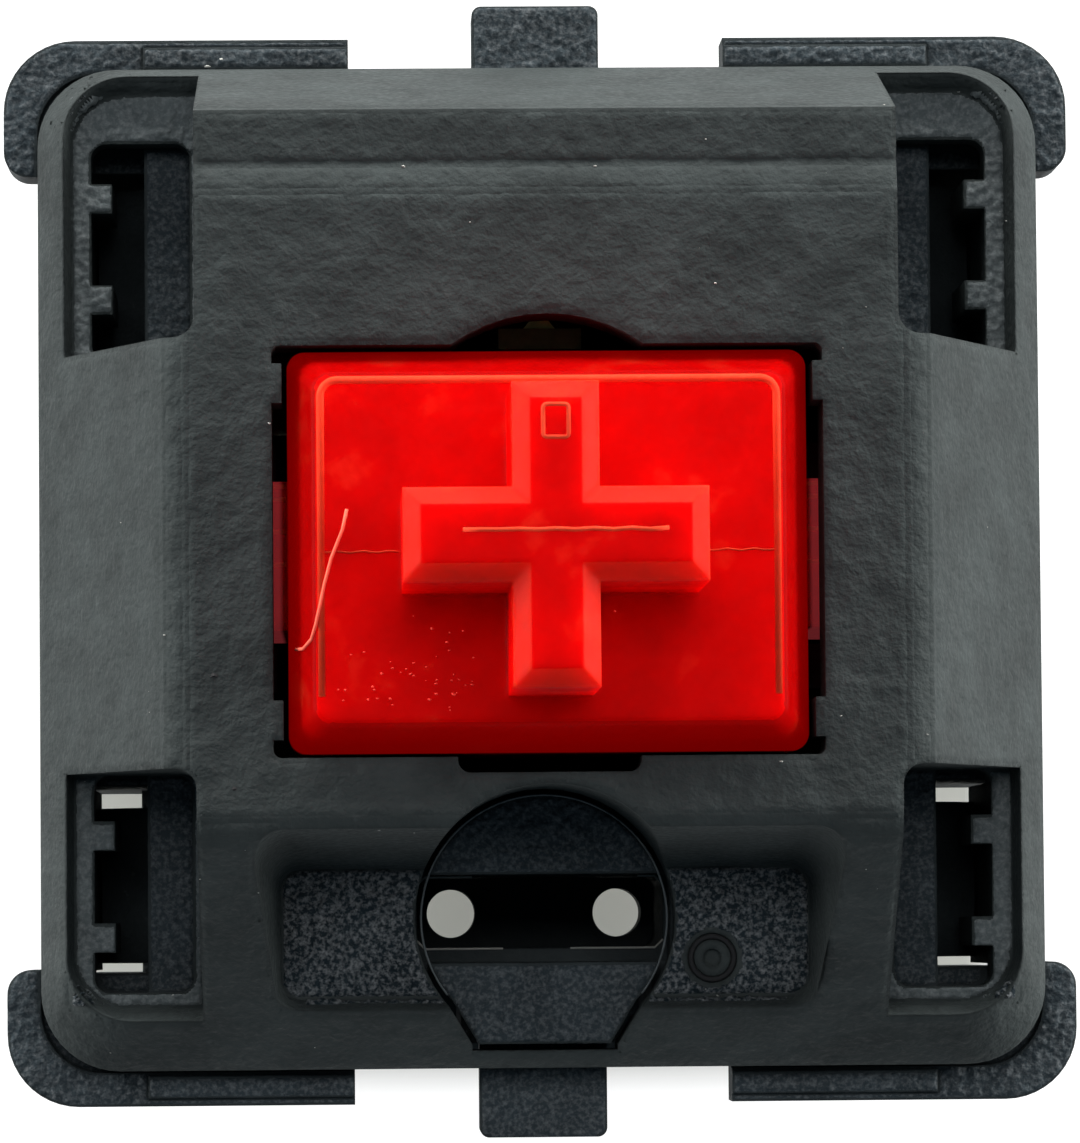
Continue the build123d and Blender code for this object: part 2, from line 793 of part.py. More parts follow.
with BuildPart() as stem:
    # Body with a tapered shoulder, hollow from below
    with BuildSketch(Plane.XY.offset(stem_bottom)):
        RectangleRounded(2 * stem_half_x, 2 * stem_half_y, stem_corner_radius)
    extrude(amount=stem_taper_base - stem_bottom)
    with BuildSketch(Plane.XY.offset(stem_taper_base)):
        RectangleRounded(2 * stem_half_x, 2 * stem_half_y, stem_corner_radius)
    with BuildSketch(Plane.XY.offset(shoulder)):
        RectangleRounded(
            2 * (stem_half_x - stem_taper_x),
            2 * (stem_half_y - stem_taper_y),
            stem_corner_radius,
        )
    loft()
    fillet(stem.faces().sort_by(Axis.Z)[-1].edges(), stem_edge_radius)
    with BuildSketch(Plane.XY.offset(stem_bottom)):
        RectangleRounded(
            2 * (stem_half_x - stem_wall), 2 * (stem_half_y - stem_wall), stem_corner_radius
        )
    extrude(amount=stem_ceiling - stem_bottom, mode=Mode.SUBTRACT)
    # Cross for the keycap
    with BuildSketch(Plane.XY.offset(shoulder)):
        Rectangle(cross_length, cross_bar_x)
        Rectangle(cross_bar_y, cross_length)
    extrude(amount=cross_height)
    chamfer(stem.faces().sort_by(Axis.Z)[-1].edges(), cross_chamfer)
    # Rails that run in the guides of the lower housing
    for side in (-1, 1):
        with BuildSketch(Plane.XY.offset(rail_bottom)):
            with Locations((side * (stem_half_x - stem_wall / 2 + rail_outer) / 2, 0)):
                Rectangle(rail_outer - stem_half_x + stem_wall / 2, 2 * rail_half_width)
            with Locations((side * rail_outer, 0)):
                Rectangle(
                    2 * rail_groove_depth, 2 * rail_groove_half_width, mode=Mode.SUBTRACT
                )
        extrude(amount=rail_top - rail_bottom)
    # Legs that hold the contact leaf back until the stem goes down
    for side in (-1, 1):
        with BuildSketch(Plane.YZ.offset(side * (leg_foot_inner + leg_foot_outer) / 2)):
            with BuildLine():
                Polyline(
                    (stem_half_y - stem_wall, stem_bottom + stem_wall),
                    (stem_half_y - stem_wall, leg_foot_bottom),
                    (leg_foot_face, leg_foot_bottom),
                    (leg_foot_face, arm_top),
                    (stem_half_y, arm_top + leg_foot_ramp),
                    (stem_half_y - stem_wall, arm_top + leg_foot_ramp),
                    close=True,
                )
            make_face()
        extrude(amount=(leg_foot_outer - leg_foot_inner) / 2, both=True)
    # Pole that runs in the well of the centre post
    with BuildSketch(Plane.XY.offset(pole_bottom)):
        Circle(pole_radius)
    extrude(amount=stem_ceiling - pole_bottom)
    chamfer(stem.edges().group_by(Axis.Z)[0], pole_chamfer)

stem.part.label = "stem"

# Return spring: open coils with a close one at either end, along one smooth path
spring_start = spring_bottom + wire_radius
spring_rise = spring_top - spring_bottom - 2 * wire_radius
close_rise = close_coils * 2 * (wire_radius + coil_gap)
open_rise = spring_rise - 2 * close_rise


def wire_height(turn):
    """Height of the middle of the wire, so many turns up from its lower end."""
    lower = min(turn, close_coils) / close_coils * close_rise
    middle = min(max(turn - close_coils, 0), spring_coils) / spring_coils * open_rise
    upper = max(turn - close_coils - spring_coils, 0) / close_coils * close_rise
    return spring_start + lower + middle + upper


with BuildPart() as return_spring:
    with BuildLine() as spring_path:
        path_points = []
        for step in range((spring_coils + 2 * close_coils) * points_per_turn + 1):
            turn = step / points_per_turn
            path_point = Vector(spring_radius, 0, wire_height(turn))
            path_points.append(path_point.rotate(Axis.Z, 360 * turn))
        Spline(*path_points)
    with BuildSketch(Plane(spring_path.line @ 0, z_dir=spring_path.line % 0)):
        RegularPolygon(wire_radius, wire_sides)
    sweep(path=spring_path.line, is_frenet=True)

return_spring.part.label = "return_spring"

with BuildPart() as fixed_contact:
    # Low strip with a tower in its middle
    with BuildSketch(Plane.XZ.offset(-fixed_plate_y)):
        with BuildLine():
            Polyline(
                (fixed_strip_west, floor_thickness),
                (fixed_strip_east, floor_thickness),
                (fixed_strip_east, floor_thickness + fixed_strip_height),
                (tower_half_width, floor_thickness + fixed_strip_height + sheet),
                (tower_half_width, tower_top),
                (-tower_half_width, tower_top),
                (-tower_half_width, floor_thickness + fixed_strip_height + sheet),
                (fixed_strip_west, floor_thickness + fixed_strip_height),
                close=True,
            )
        make_face()
    extrude(amount=-sheet)
    # Foot bent forward to the pin
    block(
        (fixed_pin_x - pin_width / 2, fixed_pin_y - sheet / 2, floor_thickness),
        (fixed_pin_x + pin_width / 2, plate_north, floor_thickness + sheet),
    )
    with BuildSketch(Plane.XZ.offset(-fixed_pin_y)):
        with BuildLine():
            Polyline(*pin_outline(fixed_pin_x), close=True)
        make_face()
    extrude(amount=sheet / 2, both=True)

fixed_contact.part.label = "fixed_contact"

with BuildPart() as moving_terminal:
    # Plate that the leaf is welded to, and its pin
    with BuildSketch(Plane.XZ.offset(-moving_pin_y)):
        with BuildLine():
            Polyline(
                (terminal_west, floor_thickness),
                (terminal_east, floor_thickness),
                (terminal_east, floor_thickness + terminal_height),
                (terminal_west, floor_thickness + terminal_height),
                close=True,
            )
        make_face()
        with BuildLine():
            Polyline(*pin_outline(moving_pin_x), close=True)
        make_face()
    extrude(amount=sheet / 2, both=True)

moving_terminal.part.label = "moving_terminal"

with BuildPart() as contact_leaf:
    # Blade: flat against the terminal, bent forward, then upright again
    with BuildSketch(Plane.YZ):
        with BuildLine():
            Polyline(
                (leaf_root_face, floor_thickness + leaf_foot_gap),
                (leaf_root_face, leaf_bend_low),
                (leaf_face, leaf_bend_high),
                (leaf_face, leaf_top),
                (leaf_face + leaf_sheet, leaf_top),
                (leaf_face + leaf_sheet, leaf_bend_high),
                (leaf_root_face + leaf_sheet, leaf_bend_low),
                (leaf_root_face + leaf_sheet, floor_thickness + leaf_foot_gap),
                close=True,
            )
        make_face()
    extrude(amount=leaf_half_width, both=True)
    # Crossbar with two arms bent forward to the legs of the stem
    block(
        (-arm_outer, leaf_face, arm_top - arm_height),
        (arm_outer, leaf_face + leaf_sheet, arm_top),
    )
    both_sides(
        (arm_inner, leg_foot_face + arm_gap, arm_top - leaf_sheet),
        (arm_outer, leaf_face + leaf_sheet, arm_top),
    )

contact_leaf.part.label = "contact_leaf"

# Contact points: two small roof-shaped bars, one lying across the other
with BuildPart() as fixed_point:
    with BuildSketch(Plane.XY.offset(point_height)):
        with BuildLine():
            Polyline(
                (-point_base / 2, plate_north),
                (point_base / 2, plate_north),
                (point_crest / 2, plate_north + point_rise),
                (-point_crest / 2, plate_north + point_rise),
                close=True,
            )
        make_face()
    extrude(amount=point_length / 2, both=True)

fixed_point.part.label = "fixed_point"

with BuildPart() as moving_point:
    with BuildSketch(Plane.YZ):
        with BuildLine():
            Polyline(
                (leaf_face, point_height - point_base / 2),
                (leaf_face, point_height + point_base / 2),
                (leaf_face - point_rise, point_height + point_crest / 2),
                (leaf_face - point_rise, point_height - point_crest / 2),
                close=True,
            )
        make_face()
    extrude(amount=point_length / 2, both=True)

moving_point.part.label = "moving_point"

os.makedirs("parts", exist_ok=True)
export_step(lower_housing.part, "parts/lower_housing.step")
export_step(upper_housing.part, "parts/upper_housing.step")
export_step(stem.part, "parts/stem.step")
export_step(return_spring.part, "parts/return_spring.step")
export_step(fixed_contact.part, "parts/fixed_contact.step")
export_step(moving_terminal.part, "parts/moving_terminal.step")
export_step(contact_leaf.part, "parts/contact_leaf.step")
export_step(fixed_point.part, "parts/fixed_point.step")
export_step(moving_point.part, "parts/moving_point.step")
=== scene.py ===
import math
import random

import bpy
from mathutils import Matrix, Vector, noise
from mathutils.bvhtree import BVHTree


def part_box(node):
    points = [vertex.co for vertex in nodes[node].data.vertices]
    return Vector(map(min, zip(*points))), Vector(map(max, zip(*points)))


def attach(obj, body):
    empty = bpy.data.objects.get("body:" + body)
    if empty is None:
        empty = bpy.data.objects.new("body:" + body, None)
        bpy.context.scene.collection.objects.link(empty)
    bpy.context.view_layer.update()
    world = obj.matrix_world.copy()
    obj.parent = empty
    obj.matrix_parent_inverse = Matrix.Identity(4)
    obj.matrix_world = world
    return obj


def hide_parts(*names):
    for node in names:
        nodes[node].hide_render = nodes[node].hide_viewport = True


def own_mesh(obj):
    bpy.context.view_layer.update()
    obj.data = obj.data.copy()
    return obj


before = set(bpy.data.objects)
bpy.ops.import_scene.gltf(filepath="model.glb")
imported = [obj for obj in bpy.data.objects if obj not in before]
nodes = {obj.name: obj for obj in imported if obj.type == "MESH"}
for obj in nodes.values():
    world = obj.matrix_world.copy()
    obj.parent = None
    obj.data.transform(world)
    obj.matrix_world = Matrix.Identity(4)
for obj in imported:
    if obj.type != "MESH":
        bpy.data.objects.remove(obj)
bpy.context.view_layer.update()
MM = 0.001
rng = random.Random(7)


def box_of(name):
    """Lowest and highest corner of a CAD node, in millimetres."""
    low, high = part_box(name)
    return low / MM, high / MM


# Sizes and heights of the solids, in millimetres
STEM_TOP = box_of("stem")[1].z
CROSS_HEIGHT = 3.6
SHOULDER = STEM_TOP - CROSS_HEIGHT
CHAMFER_START = STEM_TOP - 0.4
RAIL_START = 3.70
SEAT = 5.7
PANEL_FLOOR = 7.6
MARK_X, MARK_Y = 2.4, -5.7


# Materials
def new_material(name):
    mat = bpy.data.materials.new(name)
    mat.use_nodes = True
    tree = mat.node_tree
    return mat, tree, tree.nodes["Principled BSDF"]


def mapped(tree, scale, offset=(0, 0, 0)):
    coord = tree.nodes.new("ShaderNodeTexCoord")
    mapping = tree.nodes.new("ShaderNodeMapping")
    mapping.inputs["Scale"].default_value = (scale, scale, scale)
    mapping.inputs["Location"].default_value = offset
    tree.links.new(coord.outputs["Object"], mapping.inputs["Vector"])
    return mapping.outputs["Vector"]


def noise_tex(tree, scale, detail=3.0, rough=0.5, offset=(0, 0, 0)):
    tex = tree.nodes.new("ShaderNodeTexNoise")
    tex.inputs["Scale"].default_value = 1.0
    tex.inputs["Detail"].default_value = detail
    tex.inputs["Roughness"].default_value = rough
    tree.links.new(mapped(tree, scale, offset), tex.inputs["Vector"])
    return tex.outputs["Fac"]


def ramp(tree, source, stops):
    node = tree.nodes.new("ShaderNodeValToRGB")
    while len(node.color_ramp.elements) < len(stops):
        node.color_ramp.elements.new(0.5)
    for element, (place, colour) in zip(node.color_ramp.elements, stops):
        element.position = place
        element.color = (*colour, 1.0)
    tree.links.new(source, node.inputs["Fac"])
    return node.outputs["Color"]


def blended(tree, how, a, b):
    """Two colours added or multiplied. The second may be a plain colour."""
    node = tree.nodes.new("ShaderNodeMix")
    node.data_type = "RGBA"
    node.blend_type = how
    node.inputs[0].default_value = 1.0
    tree.links.new(a, node.inputs[6])
    if isinstance(b, tuple):
        node.inputs[7].default_value = (*b, 1.0)
    else:
        tree.links.new(b, node.inputs[7])
    return node.outputs[2]


def added(tree, a, b):
    return blended(tree, "ADD", a, b)


def product(tree, a, b):
    return blended(tree, "MULTIPLY", a, b)


def grey(level):
    return (level, level, level)


def distance_along(tree, axis):
    """Distance from the middle of the object's frame along one axis."""
    coord = tree.nodes.new("ShaderNodeTexCoord")
    parts = tree.nodes.new("ShaderNodeSeparateXYZ")
    tree.links.new(coord.outputs["Object"], parts.inputs[0])
    size = tree.nodes.new("ShaderNodeMath")
    size.operation = "ABSOLUTE"
    tree.links.new(parts.outputs[axis], size.inputs[0])
    return size.outputs[0]


def facing_up(tree):
    """How far a surface faces up: 1 where it is level."""
    shape = tree.nodes.new("ShaderNodeNewGeometry")
    parts = tree.nodes.new("ShaderNodeSeparateXYZ")
    tree.links.new(shape.outputs["True Normal"], parts.inputs[0])
    return parts.outputs["Z"]


def between(tree, source, start, end):
    """0 at one distance in mm, 1 at another and beyond."""
    node = tree.nodes.new("ShaderNodeMapRange")
    node.inputs["From Min"].default_value = start * MM
    node.inputs["From Max"].default_value = end * MM
    tree.links.new(source, node.inputs["Value"])
    return node.outputs["Result"]


def bumps(tree, bsdf, layers, edge=0.0):
    """Bump layers, each (height output, strength, distance in mm), over a slightly rounded edge."""
    previous = None
    if edge:
        rounding = tree.nodes.new("ShaderNodeBevel")
        rounding.samples = 4
        rounding.inputs["Radius"].default_value = edge * MM
        previous = rounding.outputs["Normal"]
    for height, strength, distance in layers:
        node = tree.nodes.new("ShaderNodeBump")
        node.inputs["Strength"].default_value = strength
        node.inputs["Distance"].default_value = distance * MM
        tree.links.new(height, node.inputs["Height"])
        if previous is not None:
            tree.links.new(previous, node.inputs["Normal"])
        previous = node.outputs["Normal"]
    tree.links.new(previous, bsdf.inputs["Normal"])


def black_plastic(name, tint, grain, edge, glint_level):
    """Textured black plastic; where its texture is coarse, pale specks painted into its colour stand for
    glints of light on the grain.
    """
    mat, tree, bsdf = new_material(name)
    broad = noise_tex(tree, 900, 4, 0.6)
    fine = noise_tex(tree, 11000, 2, 0.5, (0.3, 0.1, 0.7))
    patch = noise_tex(tree, 4500, 3, 0.6, (0.9, 0.4, 0.2))
    dark = tuple(0.78 * c for c in tint)
    light = tuple(1.25 * c for c in tint)
    base = ramp(tree, broad, ((0.3, dark), (0.7, light)))
    dust = ramp(tree, patch, ((0.68, grey(0.0)), (0.84, (0.03, 0.033, 0.033))))
    # Painted glints: pale specks added to the colour, standing in for light glinting on the coarse grain
    glint_spots = noise_tex(tree, 15000, 2, 0.6, (0.5, 0.8, 0.1))
    painted_glints = ramp(tree, glint_spots, ((0.42, grey(0.0)), (0.75, grey(glint_level))))
    tree.links.new(added(tree, added(tree, base, dust), painted_glints), bsdf.inputs["Base Color"])
    level = ramp(tree, fine, ((0.3, grey(0.55)), (0.7, grey(0.75))))
    tree.links.new(level, bsdf.inputs["Roughness"])
    bsdf.inputs["Specular IOR Level"].default_value = 0.09
    bumps(tree, bsdf, ((fine, 1.0 * grain, 0.020), (patch, 0.9 * grain, 0.030)), edge)
    return mat


def red_plastic(name, colour, glow, rim_painted_shade=1.0, rim_painted_glow=0.0):
    """Red plastic; painted highlights pale the cross's edges, painted shade darkens the shoulder's rim, and
    a painted glow lies on the rails and the rim, standing in for light carried inside the plastic.
    """
    mat, tree, bsdf = new_material(name)
    broad = noise_tex(tree, 1100, 4, 0.6, (0.2, 0.5, 0.1))
    fine = noise_tex(tree, 6000, 3, 0.5, (0.6, 0.2, 0.9))
    deep = tuple(0.86 * c for c in colour)
    mottled = tuple(c + d for c, d in zip(colour, (0.14, 0.022, 0.008)))
    base = ramp(tree, broad, ((0.35, deep), (0.58, colour), (0.85, mottled)))
    slope_stops = ((0.15, grey(0.0)), (0.3, grey(1.0)), (0.9, grey(1.0)), (0.98, grey(0.0)))
    tilted = ramp(tree, facing_up(tree), slope_stops)
    height = distance_along(tree, "Z")
    # Painted highlight: paler colour on the cross's chamfers. Painted shade: the tilted rim below them is
    # darkened.
    below, above = CHAMFER_START - 0.05, CHAMFER_START + 0.05
    cross_edge = product(tree, tilted, between(tree, height, below, above))
    rim = product(tree, tilted, between(tree, height, above, below))
    rim_shaded_base = product(tree, base, ramp(tree, rim, ((0.0, grey(1.0)), (1.0, grey(rim_painted_shade)))))
    painted_edge_highlight = product(tree, cross_edge, (0.03, 0.014, 0.007))
    tree.links.new(added(tree, rim_shaded_base, painted_edge_highlight), bsdf.inputs["Base Color"])
    # Painted glow: light emitted on the rails at the sides and on the rim, standing in for light carried
    # inside the plastic
    out_at_side = between(tree, distance_along(tree, "X"), RAIL_START, RAIL_START + 0.06)
    painted_rail_glow = product(tree, out_at_side, (0.10, 0.011, 0.013))
    painted_rim_glow = product(tree, rim, (rim_painted_glow, 0.0, 0.0))
    tree.links.new(added(tree, painted_rail_glow, painted_rim_glow), bsdf.inputs["Emission Color"])
    bsdf.inputs["Emission Strength"].default_value = 1.0
    level = ramp(tree, fine, ((0.35, grey(0.38)), (0.7, grey(0.55))))
    tree.links.new(level, bsdf.inputs["Roughness"])
    bsdf.inputs["Specular IOR Level"].default_value = 0.02
    bsdf.inputs["Subsurface Weight"].default_value = glow
    bsdf.inputs["Subsurface Radius"].default_value = (1.0, 0.08, 0.03)
    bsdf.inputs["Subsurface Scale"].default_value = 1.6 * MM
    bumps(tree, bsdf, ((broad, 0.2, 0.03), (fine, 0.25, 0.006)), edge=0.14)
    return mat


def metal(name, colour, rough):
    mat, tree, bsdf = new_material(name)
    wear = noise_tex(tree, 4000, 3, 0.6)
    dull = tuple(0.7 * c for c in colour)
    tree.links.new(ramp(tree, wear, ((0.35, dull), (0.6, colour))), bsdf.inputs["Base Color"])
    bsdf.inputs["Metallic"].default_value = 1.0
    level = ramp(tree, wear, ((0.3, grey(rough)), (0.7, grey(rough + 0.15))))
    tree.links.new(level, bsdf.inputs["Roughness"])
    bumps(tree, bsdf, ((wear, 0.15, 0.004),))
    return mat


def plain_matt(name, colour):
    mat, _, bsdf = new_material(name)
    bsdf.inputs["Base Color"].default_value = (*colour, 1)
    bsdf.inputs["Roughness"].default_value = 0.9
    return mat


BLACK_COVER = black_plastic("black_cover", (0.027, 0.0325, 0.0325), 1.0, 0.12, 0.0)
BLACK_BASE = black_plastic("black_base", (0.025, 0.031, 0.033), 1.0, 0.06, 0.0)
# Sunk panel: tint darker than the cover's as painted shade of the recess, with painted glints
BLACK_PANEL_SHADED = black_plastic("black_panel_shaded", (0.009, 0.015, 0.019), 1.6, 0.0, 0.125)
# Window ledges: tint paler than the cover's as painted light on the ledges, with painted glints
BLACK_LEDGE_LIT = black_plastic("black_ledge_lit", (0.070, 0.081, 0.083), 1.2, 0.0, 0.06)
# Top of the lower housing: painted glints in its colour
BLACK_COARSE = black_plastic("black_coarse", (0.024, 0.032, 0.037), 1.4, 0.0, 0.06)
# Pale grey for the pillar's rim: painted highlight
BLACK_RIM_HIGHLIGHT = black_plastic("black_rim_highlight", (0.11, 0.125, 0.13), 0.6, 0.0, 0.0)
# The stem, with painted shade and a painted glow on its rim
RED = red_plastic("red_stem", (0.61, 0.0, 0.0), 0.9, rim_painted_shade=0.32, rim_painted_glow=0.135)
# Paler red for the stem's raised lines: painted highlight
RED_HIGHLIGHT = red_plastic("red_edge_highlight", (0.95, 0.05, 0.02), 0.2)
STEEL = metal("spring_wire", (0.62, 0.62, 0.64), 0.25)
# Brass darkened well below its own colour: painted shade for the deep gaps where the contacts sit
BRASS = metal("contact_strip", (0.34, 0.22, 0.09), 0.45)
GOLD = metal("contact_gold", (0.95, 0.7, 0.25), 0.22)
# Pale matt: real dust on the flakes, and painted highlight on the well's edges
DUST_AND_HIGHLIGHT = plain_matt("dust", (0.32, 0.32, 0.30))
# Near black matt: dark specks on the cover, and painted shade in the round mark's groove
DARK_SPECKS_AND_SHADE = plain_matt("dark_specks", (0.006, 0.006, 0.007))
FIBRE = plain_matt("fibre", (0.90, 0.12, 0.07))
PINK = plain_matt("pink_specks", (0.80, 0.035, 0.02))


def dress(name, material):
    nodes[name].data.materials.clear()
    nodes[name].data.materials.append(material)


dress("upper_housing", BLACK_COVER)
dress("lower_housing", BLACK_BASE)
dress("stem", RED)
dress("return_spring", STEEL)
for name in ("fixed_contact", "moving_terminal", "contact_leaf"):
    dress(name, BRASS)
for name in ("fixed_point", "moving_point"):
    dress(name, GOLD)


# Helpers for pieces
def add_piece(name, verts, faces, material, body, slot, smooth=False):
    """A mesh piece whose points are given in millimetres."""
    mesh = bpy.data.meshes.new(name)
    mesh.from_pydata([Vector(v) * MM for v in verts], [], faces)
    mesh.update()
    obj = bpy.data.objects.new(name, mesh)
    bpy.context.collection.objects.link(obj)
    mesh.materials.append(material)
    if smooth:
        for polygon in mesh.polygons:
            polygon.use_smooth = True
    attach(obj, body)
    return obj


def tube(path, radius, sides=8, closed=False):
    """Points and faces of a round tube along a path."""
    verts, faces = [], []
    points = [Vector(p) for p in path]
    count = len(points)
    for i, point in enumerate(points):
        ahead = points[(i + 1) % count] if closed or i + 1 < count else point
        behind = points[i - 1] if closed or i else point
        along = (ahead - behind).normalized()
        side = along.cross(Vector((0, 0, 1)))
        side = side.normalized() if side.length > 1e-6 else Vector((1, 0, 0))
        top = side.cross(along)
        for k in range(sides):
            angle = 2 * math.pi * k / sides
            verts.append(point + radius * (math.cos(angle) * side + math.sin(angle) * top))
    for i in range(count if closed else count - 1):
        j = (i + 1) % count
        for k in range(sides):
            m = (k + 1) % sides
            faces.append((i * sides + k, i * sides + m, j * sides + m, j * sides + k))
    if not closed:
        faces.append(tuple(range(sides - 1, -1, -1)))
        faces.append(tuple((count - 1) * sides + k for k in range(sides)))
    return verts, faces


def rounded_loop(half_x, half_y, radius, z, steps=6):
    """Points round a rectangle with rounded corners, at one height."""
    path = []
    for corner, (sx, sy) in enumerate(((1, 1), (-1, 1), (-1, -1), (1, -1))):
        for i in range(steps + 1):
            angle = math.radians(90 * (corner + i / steps))
            x = sx * (half_x - radius) + radius * math.cos(angle)
            y = sy * (half_y - radius) + radius * math.sin(angle)
            path.append((x, y, z))
    return path


def node_tree_of(name):
    """Search tree over a CAD node's mesh, in millimetres."""
    obj = nodes[name]
    verts = [obj.matrix_world @ v.co / MM for v in obj.data.vertices]
    return BVHTree.FromPolygons(verts, [tuple(p.vertices) for p in obj.data.polygons])


SEARCH = {name: node_tree_of(name) for name in ("upper_housing", "lower_housing", "stem")}


def seen_from_above(x, y):
    """The first surface under a point: its node, place and normal."""
    best = (None, None, None)
    for name, tree in SEARCH.items():
        place, normal, _, _ = tree.ray_cast(Vector((x, y, 30)), Vector((0, 0, -1)))
        if place is not None and (best[1] is None or place.z > best[1].z):
            best = (name, place, normal)
    return best


STEEPEST, SAME_WAY, SAME_LEVEL = 0.25, 0.985, 0.01
BORDER_LIFT, LEAST_LIFT = -0.012, 0.006


def grain_sheet(name, node, pitch, swell, tones, material, wanted):
    """Real moulding grain: a fine sheet just over one node's surfaces that are seen from above."""
    low, high = box_of(node)
    columns = int((high.x - low.x) / pitch)
    rows = int((high.y - low.y) / pitch)
    hits = []
    for j in range(rows + 1):
        for i in range(columns + 1):
            found, place, normal = seen_from_above(low.x + i * pitch, low.y + j * pitch)
            good = found == node and normal.z > STEEPEST and wanted(place)
            hits.append((place, normal) if good else None)

    def alike(a, b):
        if hits[a] is None or hits[b] is None:
            return False
        step = hits[b][0] - hits[a][0]
        return hits[a][1].dot(hits[b][1]) > SAME_WAY and abs(step.dot(hits[a][1])) < SAME_LEVEL

    verts, faces, index = [], [], {}
    width = columns + 1

    def corner(k):
        if k not in index:
            place, normal = hits[k]
            around = (k - 1, k + 1, k - width, k + width)
            border = any(not 0 <= n < len(hits) or not alike(k, n) for n in around)
            wave = 0.5 + sum(share * noise.noise(place * tone) for tone, share in tones)
            lift = BORDER_LIFT if border else LEAST_LIFT + swell * max(wave, 0)
            index[k] = len(verts)
            verts.append(place + normal * lift)
        return index[k]

    for j in range(rows):
        for i in range(columns):
            k = j * width + i
            ring = (k, k + 1, k + 1 + width, k + width)
            if all(alike(ring[n], ring[(n + 1) % 4]) for n in range(4)):
                faces.append(tuple(corner(n) for n in ring))
    add_piece(name, verts, faces, material, "base", "black_housing", smooth=True)


# Moulding grain on the cover and on the lower housing: tones, each with its share
BROAD = ((1.7, 0.7), (4.2, 1.0), (8.5, 0.9))
COARSE = ((4.2, 0.6), (8.5, 1.0), (15.0, 0.9))


def is_low(place):
    """The sunk panel and the ledges of the windows."""
    return place.z < PANEL_FLOOR + 0.15 and abs(place.x) < 6.8 and -6.35 < place.y < 6.85


def is_ledge(place):
    """A ledge of a window."""
    return is_low(place) and place.z < PANEL_FLOOR - 0.2


def is_panel(place):
    """The sunk panel without its round mark."""
    beside_mark = math.hypot(place.x - MARK_X, place.y - MARK_Y) > 0.4
    return is_low(place) and place.z > PANEL_FLOOR - 0.2 and beside_mark


def is_open_cover(place):
    """The cover outside the sunk panel and the ledges."""
    return not is_low(place)


def is_base_top(place):
    """The flange of the lower housing and what stands over it."""
    return place.z > SEAT - 0.7


grain_sheet("cover_grain", "upper_housing", 0.055, 0.018, BROAD, BLACK_COVER, is_open_cover)
# Panel sheet: painted shade and painted glints
grain_sheet("panel_grain", "upper_housing", 0.035, 0.05, COARSE, BLACK_PANEL_SHADED, is_panel)
# Ledge sheet: painted light and painted glints
grain_sheet("ledge_grain", "upper_housing", 0.035, 0.04, COARSE, BLACK_LEDGE_LIT, is_ledge)
# Lower housing sheet: painted glints
grain_sheet("base_grain", "lower_housing", 0.035, 0.03, COARSE, BLACK_COARSE, is_base_top)

# Return spring, with closed ends
low, high = box_of("return_spring")
SPRING_RADIUS, WIRE = 1.85, 0.12
TURNS, CLOSE, CLOSE_PITCH, STEPS = 10, 1.0, 0.27, 40
path = []
span = high.z - low.z - 2 * WIRE
close_rise = CLOSE * CLOSE_PITCH
open_rise = span - 2 * close_rise
for i in range(TURNS * STEPS + 1):
    turn = i / STEPS
    rise = min(turn, CLOSE) * close_rise
    rise += min(max(turn - CLOSE, 0), TURNS - 2 * CLOSE) / (TURNS - 2 * CLOSE) * open_rise
    rise += max(turn - TURNS + CLOSE, 0) * close_rise
    angle = 2 * math.pi * turn
    path.append((SPRING_RADIUS * math.cos(angle), SPRING_RADIUS * math.sin(angle), low.z + WIRE + rise))
verts, faces = tube(path, WIRE, sides=10)
spring = add_piece("return_spring_coil", verts, faces, STEEL, "base", "spring_steel", smooth=True)
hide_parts("return_spring")
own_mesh(spring)

# Stem: a bead along the north, east and west sides of its shoulder, a ridge along the cross, a gate mark and
# parting lines; these raised lines are real, their paler red is painted highlight
BEAD_X, BEAD_Y, BEAD_END = 3.16, 2.34, 2.04
north_corners = rounded_loop(BEAD_X, BEAD_Y, 0.22, SHOULDER - 0.015)[:14]
ends = [(x, -BEAD_END, SHOULDER - 0.03) for x in (BEAD_X, -BEAD_X)]
add_piece(
    "stem_bead", *tube([ends[0], *north_corners, ends[1]], 0.06), RED_HIGHLIGHT, "key", "red_stem", smooth=True,
)
ridge_points = [(-1.25 + 0.25 * i, 0.05 + 0.01 * math.sin(3.0 * i), STEM_TOP - 0.024) for i in range(12)]
add_piece("cross_ridge", *tube(ridge_points, 0.04, 8), RED_HIGHLIGHT, "key", "red_stem", smooth=True)
mark = [(x, y + 1.5, z) for x, y, z in rounded_loop(0.17, 0.22, 0.05, STEM_TOP - 0.026, 3)]
add_piece("gate_mark", *tube(mark, 0.04, 8, closed=True), RED_HIGHLIGHT, "key", "red_stem", smooth=True)
for side, name in ((-1, "parting_line_west"), (1, "parting_line_east")):
    line = [(side * (2.06 + 0.1 * i), -0.04 + 0.012 * math.sin(1.7 * i + side), SHOULDER) for i in range(12)]
    add_piece(name, *tube(line, 0.014, 6), RED_HIGHLIGHT, "key", "red_stem", smooth=True)

# Moulded lines across the tops of the rails, in the paler red as painted highlight
rail_top = seen_from_above(-3.76, 0.0)[1].z
for side, name in ((-1, "rail_lines_west"), (1, "rail_lines_east")):
    verts, faces = [], []
    for y in (0.98, 0.80, 0.34, -0.12):
        more_verts, more_faces = tube([(side * 3.66, y, rail_top), (side * 4.3, y, rail_top)], 0.035, 6)
        faces += [tuple(len(verts) + k for k in face) for face in more_faces]
        verts += more_verts
    add_piece(name, verts, faces, RED_HIGHLIGHT, "key", "red_stem", smooth=True)

